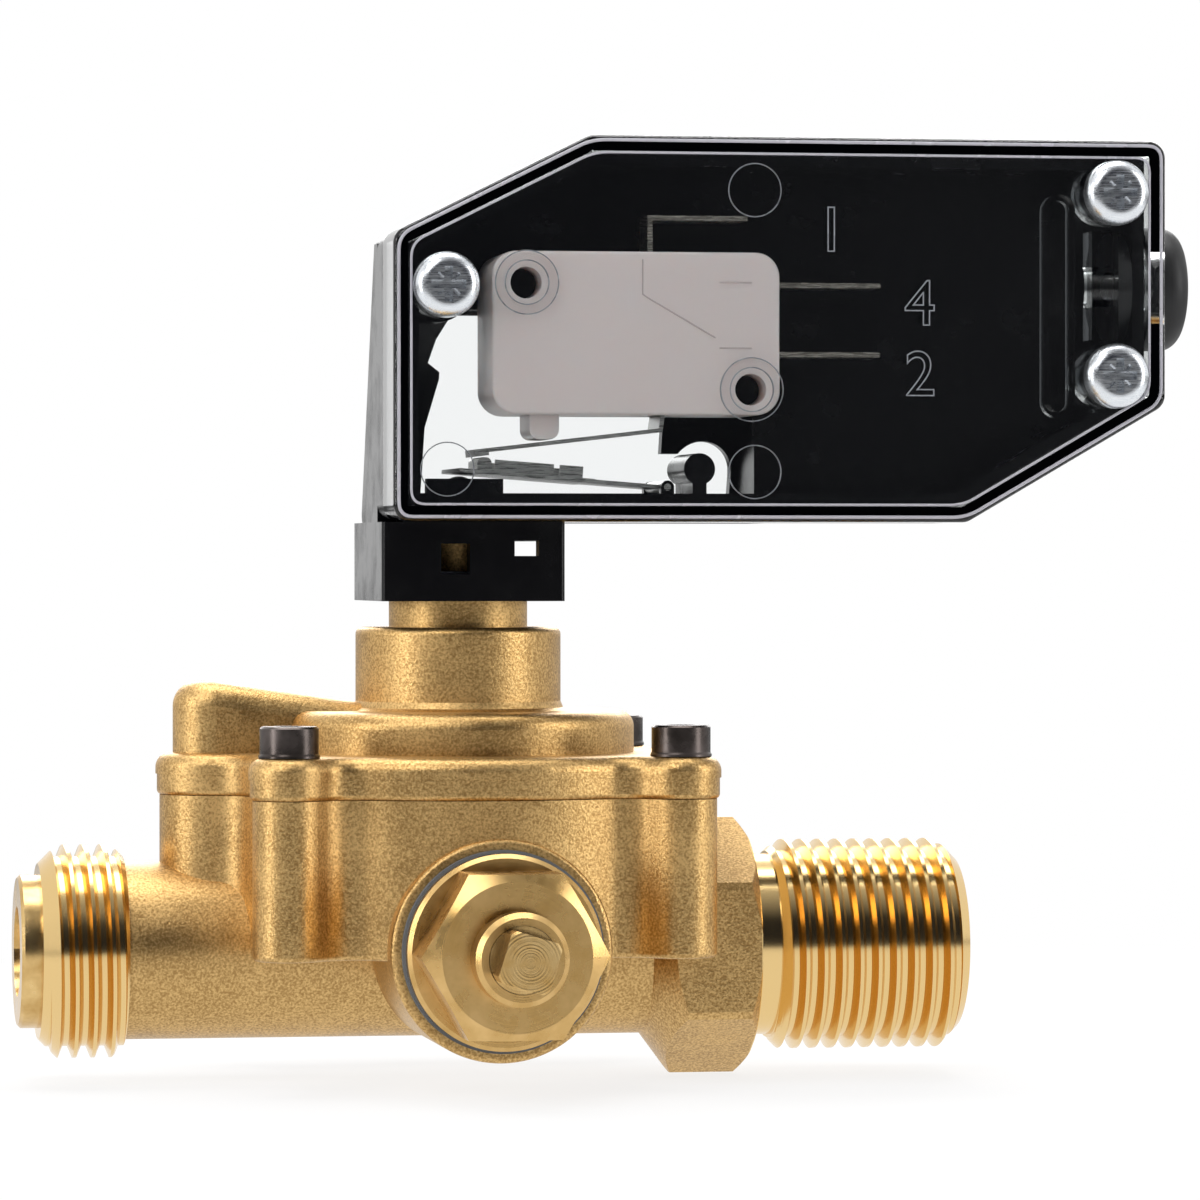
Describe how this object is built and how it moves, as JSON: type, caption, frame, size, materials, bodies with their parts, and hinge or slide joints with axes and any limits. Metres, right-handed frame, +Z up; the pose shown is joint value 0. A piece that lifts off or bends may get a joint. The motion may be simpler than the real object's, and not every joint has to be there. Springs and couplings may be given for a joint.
{
  "type": "flow switch",
  "caption": "Brass diaphragm flow switch: venturi pipe body with threaded ports, front throttle spindle and a micro switch in a clear-fronted case on its neck.",
  "frame": {"origin": "centre of the inlet port's end face", "axes": "+X out of the inlet along the pipe, +Z up along the neck, -Y towards the throttle and the clear cover"},
  "size_m": [0.1153, 0.0646, 0.0923],
  "materials": {
    "cast_brass": "shot-blasted casting",
    "turned_brass": "turned and milled",
    "zinc_steel": "zinc plated",
    "stainless_steel": "rolled sheet and drawn wire",
    "silvered_brass": "silver plated strip",
    "black_moulding": "moulded, fine texture",
    "clear_moulding": "clear moulding, glossy",
    "pink_moulding": "moulded, slightly translucent",
    "black_rubber": "moulded rubber",
    "grey_fibre": "pressed fibre"
  },
  "bodies": {
    "valve": {"valve_body": "cast_brass", "valve_cover": "cast_brass", "gland_nut": "turned_brass", "gland_bush": "turned_brass", "venturi_nozzle": "turned_brass", "case_screws": "zinc_steel", "cover_screws": "zinc_steel", "return_spring": "stainless_steel", "retaining_ring": "stainless_steel", "housing_clip": "stainless_steel", "lever_pin": "stainless_steel", "terminal_common": "silvered_brass", "terminal_open": "silvered_brass", "terminal_closed": "silvered_brass", "switch_base": "black_moulding", "clear_cover": "clear_moulding", "microswitch_case": "pink_moulding", "microswitch_lid": "pink_moulding", "cable_grommet": "black_rubber", "channel_seal": "black_rubber", "nozzle_seal": "black_rubber", "stem_seal": "black_rubber", "diaphragm": "black_rubber", "gland_washer": "grey_fibre"},
    "stem": {"upper_plate": "stainless_steel", "lower_plate": "stainless_steel", "push_rod": "stainless_steel", "rod_nut": "turned_brass"},
    "actuating_lever": {"actuating_lever": "stainless_steel"},
    "switch_lever": {"switch_lever": "stainless_steel"},
    "plunger": {"plunger": "pink_moulding"},
    "contact_blade": {"contact_blade": "silvered_brass", "snap_spring": "stainless_steel"},
    "spindle": {"spindle": "turned_brass", "spindle_seal": "black_rubber", "throttle_plug": "turned_brass"}
  },
  "joints": [
    {"name": "stem_slide", "type": "slide", "parent": "valve", "child": "stem", "axis": [0, 0, 1], "range_m": [0, 0.002], "stiffness_N_per_m": 400, "springref_m": -0.006, "deforming": ["return_spring", "diaphragm"]},
    {"name": "actuating_lever_hinge", "type": "hinge", "parent": "valve", "child": "actuating_lever", "pos_m": [-0.0307, -0.004, 0.04545], "axis": [0, 1, 0], "range_deg": [0, 6]},
    {"name": "switch_lever_hinge", "type": "hinge", "parent": "valve", "child": "switch_lever", "pos_m": [-0.0312, -0.00685, 0.05295], "axis": [0, 1, 0], "range_deg": [0, 6.5]},
    {"name": "plunger_slide", "type": "slide", "parent": "valve", "child": "plunger", "axis": [0, 0, 1], "range_m": [0, 0.0013]},
    {"name": "contact_blade_hinge", "type": "hinge", "parent": "valve", "child": "contact_blade", "pos_m": [-0.0456, -0.00685, 0.0604], "axis": [0, 1, 0], "range_deg": [-1.8, 0]},
    {"name": "spindle_turn", "type": "hinge", "parent": "valve", "child": "spindle", "pos_m": [-0.0491, -0.03, 0.001], "axis": [0, 1, 0], "range_deg": [0, 90]}
  ],
  "couplings": [
    {"joint": "actuating_lever_hinge", "follows": "stem_slide", "rad_per_m": 51.8},
    {"joint": "switch_lever_hinge", "follows": "stem_slide", "rad_per_m": 53.4},
    {"joint": "plunger_slide", "follows": "stem_slide", "ratio": 0.628},
    {"joint": "contact_blade_hinge", "follows": "stem_slide", "rad_per_m": -14.9}
  ]
}
